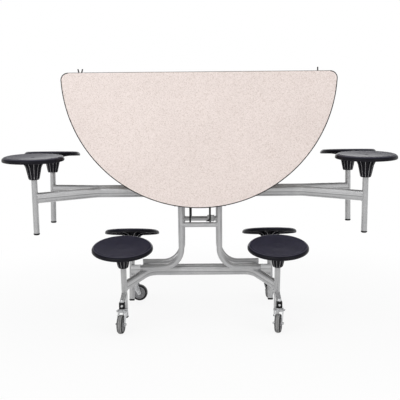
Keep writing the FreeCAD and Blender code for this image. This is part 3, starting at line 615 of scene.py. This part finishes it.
# Its heights are levels from the floor
RACEWAY_CAP = [(0, 123.6), (17.0, 123.6), (21.0, 122.8), (29.5, 121.4), (31.5, 119.9), (31.5, 118.0),
               (29.0, 117.0), (29.0, 115.7), (31.5, 114.8), (31.5, 112.4), (29.5, 111.3), (0, 111.3)]
BRACKET_SCREW, BRACKET_FACE = 22.0, 713.0  # shift from the middle, and the level of the face
HINGE_SCREW, HINGE_FACE = 16.0, 712.0
HINGE_X, HINGE_ROWS = 450.0, (26.0, 106.0)
CLAMP_SCREW, CLAMP_FACE = 11.0, 681.0
SCREW_SPIN, BOLT_SPIN, NUT_SPIN = 0.7, 0.3, 0.4  # radians
AXLE_REACH = 0.025  # metres from the wheel's middle to the inner face of a nut


def top_screws():
    """The screws under a half top, of the pivot brackets, hinge plates and clamp: x, u and level."""
    for side in SIDES:
        for spec in FRAMES.values():
            for shift in (-BRACKET_SCREW, BRACKET_SCREW):
                yield side * spec["x"], spec["top"] + shift, BRACKET_FACE
        for u in HINGE_ROWS:
            for shift in (-HINGE_SCREW, HINGE_SCREW):
                yield side * HINGE_X + shift, u, HINGE_FACE
        yield side * CLAMP_SCREW, FRAMES["short"]["top"], CLAMP_FACE


for half in HALVES:
    place = folded(half, "top")
    screws = Piece(half + "_top_screws")
    for i, (x, u, level) in enumerate(top_screws()):
        at = Matrix.Translation((x, -u, level)) @ looking(DOWN, i * SCREW_SPIN)
        screws.lathe(PAN_HEAD, place @ at, steps=24)
    screws.done(half + "_top", "pin_steel")

    bolts = Piece(half + "_block_bolts")
    low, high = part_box(half + "_caster_blocks")
    face, sign = (low.y, -1) if half == "front" else (high.y, 1)
    for side in ("left", "right"):
        stem = Vector(joints[f"{half}_{side}_swivel"]["pos_m"])
        at = set_at((stem.x, face, stem.z), (0, sign, 0), BOLT_SPIN)
        bolts.lathe(WASHER, at, steps=32)
        bolts.lathe(HEX_HEAD, at @ Matrix.Translation((0, 0, WASHER_TOP)), steps=48, corners=6)
    bolts.done(half + "_short_frame", "zinc")

    for group, spec in FRAMES.items():
        x, u = spec["post"]
        marks = Piece(f"{half}_{group}_gate_marks")
        for side in SIDES:
            at = Matrix.Translation((side * x, -u, SEAT_LEVEL)) @ looking(UP)
            marks.lathe(GATE_MARK, folded(half, group) @ at, steps=40)
        marks.done(half + "_" + group + "_frame", "stool_plastic")


# Gussets under the seats, one below each moulded rib, from (radius, level) points

GUSSETS = 12
GUSSET_THICKNESS = 2.6
GUSSET = [(41.0, 404.8), (154.0, 404.8), (154.0, 403.4), (96.0, 401.5), (70.0, 397.0), (55.0, 389.5),
          (47.5, 379.5), (42.0, 368.0), (29.2, 307.0), (24.0, 307.0), (33.0, 368.0)]
GUSSET_HIGHLIGHT_SIDES = (2, 3, 4, 5, 6, 7)  # the sides of the outline that face out and down, which take the painted highlight finish

for half in HALVES:
    for group, spec in FRAMES.items():
        x, u = spec["post"]
        gussets = Piece(f"{half}_{group}_seat_gussets")
        for side in SIDES:
            at = folded(half, group) @ Matrix.Translation((side * x, -u, 0))
            for i in range(GUSSETS):
                turned = at @ Matrix.Rotation(FULL_TURN * (i + 0.5) / GUSSETS, 4, "Z")
                gussets.plate(GUSSET, GUSSET_THICKNESS, turned, GUSSET_HIGHLIGHT_SIDES)
        gussets.done(half + "_" + group + "_frame", "stool_plastic", second=edge_highlight_finish)


# Spine plugs, axle nuts and raceway caps

low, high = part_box("centre_spine")
middle = (low + high) / 2
plugs = Piece("spine_plugs")
for side, x in zip(SIDES, (low.x, high.x)):
    at = set_at((x, middle.y, middle.z), (side, 0, 0), math.pi / 4)
    plugs.lathe(SPINE_PLUG, at, steps=48, corners=4)
plugs.done("spine", "glide_plastic", angle=25.0)

for caster in CASTERS:
    spin = joints[caster + "_spin"]
    axis = Vector(spin["axis"]).normalized()
    nuts = Piece(caster + "_axle_nuts")
    for sign in SIDES:
        end = Vector(spin["pos_m"]) + axis * sign * AXLE_REACH
        nuts.lathe(HEX_HEAD, set_at(end, axis * sign, NUT_SPIN), steps=48, corners=6)
    nuts.done(caster + "_caster", "zinc")
    stem = Vector(joints[caster + "_swivel"]["pos_m"])
    cap = Piece(caster + "_raceway_cap")
    cap.lathe(RACEWAY_CAP, Matrix.Translation((stem.x, stem.y, 0)) @ MILLIMETRES, steps=64)
    cap.done(caster + "_caster", "zinc")


# Floor, light and camera, in metres

WHITE, FLOOR_COLOUR = (1, 1, 1, 1), (0.92, 0.92, 0.92, 1)
FLOOR_SIZE = 40.0  # half its side
FLOOR_GLOW, FLOOR_FADE = (0.88, 1.0), (1.0, 2.6)  # share near and far, and the distances between them
SKY_STRENGTH = 0.48
HORIZON = (0.22, 0.40)  # rise of a direction at which the white near the horizon starts and ends its fade
# Name, place, point aimed at, width, height and watts
LAMPS = [
    ("key", (-2.6, -4.6, 3.4), (0, 0, 0.8), 4.2, 3.0, 112),
    ("fill", (3.4, -4.2, 3.2), (0, 0, 0.7), 3.2, 2.4, 58),
    ("over", (0, 0.3, 4.6), (0, 0, 0), 3.6, 3.6, 38),
    ("back", (0, 6.4, 1.7), (0, 0, 0.9), 5.0, 1.4, 55),
]
CAMERA_PLACE = (0.0277, -4.1966, 1.1466)
CAMERA_TURN = (0.388, 6.545, -0.510)  # yaw, pitch down and roll in degrees
LENS, SENSOR = 66.87, 36.0  # millimetres


def seen_mix(graph, output, other, seen, share):
    """Give the camera and reflections this share of the shader seen, and other light none of it."""
    rays = graph.node("ShaderNodeLightPath").outputs
    shown = graph.math("MAXIMUM", rays["Is Camera Ray"], rays["Is Glossy Ray"])
    shown = graph.math("MAXIMUM", shown, rays["Is Transmission Ray"])
    mixed = graph.node("ShaderNodeMixShader", {"Fac": graph.math("MULTIPLY", shown, share),
                                               1: other.outputs[0], 2: seen.outputs[0]})
    graph.node(output, {"Surface": mixed.outputs[0]})


def floor():
    """Pale studio floor that keeps a soft shadow under the table and whitens away from it."""
    mesh = bpy.data.meshes.new("floor")
    corners = [(FLOOR_SIZE * x, FLOOR_SIZE * y, 0) for x, y in ((-1, -1), (1, -1), (1, 1), (-1, 1))]
    mesh.from_pydata(corners, [], [(0, 1, 2, 3)])
    obj = bpy.data.objects.new("floor", mesh)
    scene.collection.objects.link(obj)
    material = bpy.data.materials.new("floor")
    material.use_nodes = True
    graph = Graph(material.node_tree)
    graph.tree.nodes.clear()
    place = graph.node("ShaderNodeTexCoord").outputs["Object"]
    distance = graph.node("ShaderNodeVectorMath", {0: place}, operation="LENGTH").outputs["Value"]
    share = graph.fade(distance, *FLOOR_GLOW, *FLOOR_FADE, curve="SMOOTHSTEP")
    plain = graph.node("ShaderNodeBsdfDiffuse", {"Color": FLOOR_COLOUR})
    seen_mix(graph, "ShaderNodeOutputMaterial", plain, graph.node("ShaderNodeEmission"), share)
    mesh.materials.append(material)


def sky():
    """Soft white all round, seen as full white near the horizon."""
    scene.world = bpy.data.worlds.new("studio")
    scene.world.use_nodes = True
    graph = Graph(scene.world.node_tree)
    graph.tree.nodes.clear()
    way = graph.node("ShaderNodeTexCoord").outputs["Generated"]
    rise = graph.node("ShaderNodeSeparateXYZ", {"Vector": way}).outputs["Z"]
    share = graph.fade(rise, 1.0, 0.0, *HORIZON, curve="SMOOTHSTEP")
    soft = graph.node("ShaderNodeBackground", {"Color": WHITE, "Strength": SKY_STRENGTH})
    white = graph.node("ShaderNodeBackground", {"Color": WHITE})
    seen_mix(graph, "ShaderNodeOutputWorld", soft, white, share)


def softbox(name, at, towards, width, height, watts):
    light = bpy.data.lights.new(name, "AREA")
    light.shape = "RECTANGLE"
    light.size, light.size_y = width, height
    light.energy = watts
    obj = bpy.data.objects.new(name, light)
    obj.location = at
    obj.rotation_euler = (Vector(towards) - Vector(at)).to_track_quat("-Z", "Y").to_euler()
    scene.collection.objects.link(obj)


def camera():
    """The camera that was fitted to points in the photo."""
    yaw, pitch, roll = (math.radians(angle) for angle in CAMERA_TURN)
    side = Vector((math.cos(yaw), math.sin(yaw), 0))
    level = Vector((-math.sin(yaw), math.cos(yaw), 0))
    forward = level * math.cos(pitch) - UP * math.sin(pitch)
    rise = level * math.sin(pitch) + UP * math.cos(pitch)
    right = side * math.cos(roll) + rise * math.sin(roll)
    up = rise * math.cos(roll) - side * math.sin(roll)
    data = bpy.data.cameras.new("camera")
    data.lens = LENS
    data.sensor_width = SENSOR
    obj = bpy.data.objects.new("camera", data)
    turn = Matrix((right, up, -forward)).transposed().to_4x4()
    obj.matrix_world = Matrix.Translation(CAMERA_PLACE) @ turn
    scene.collection.objects.link(obj)
    scene.camera = obj


floor()
sky()
for lamp in LAMPS:
    softbox(*lamp)
camera()
scene.view_settings.view_transform = "Standard"
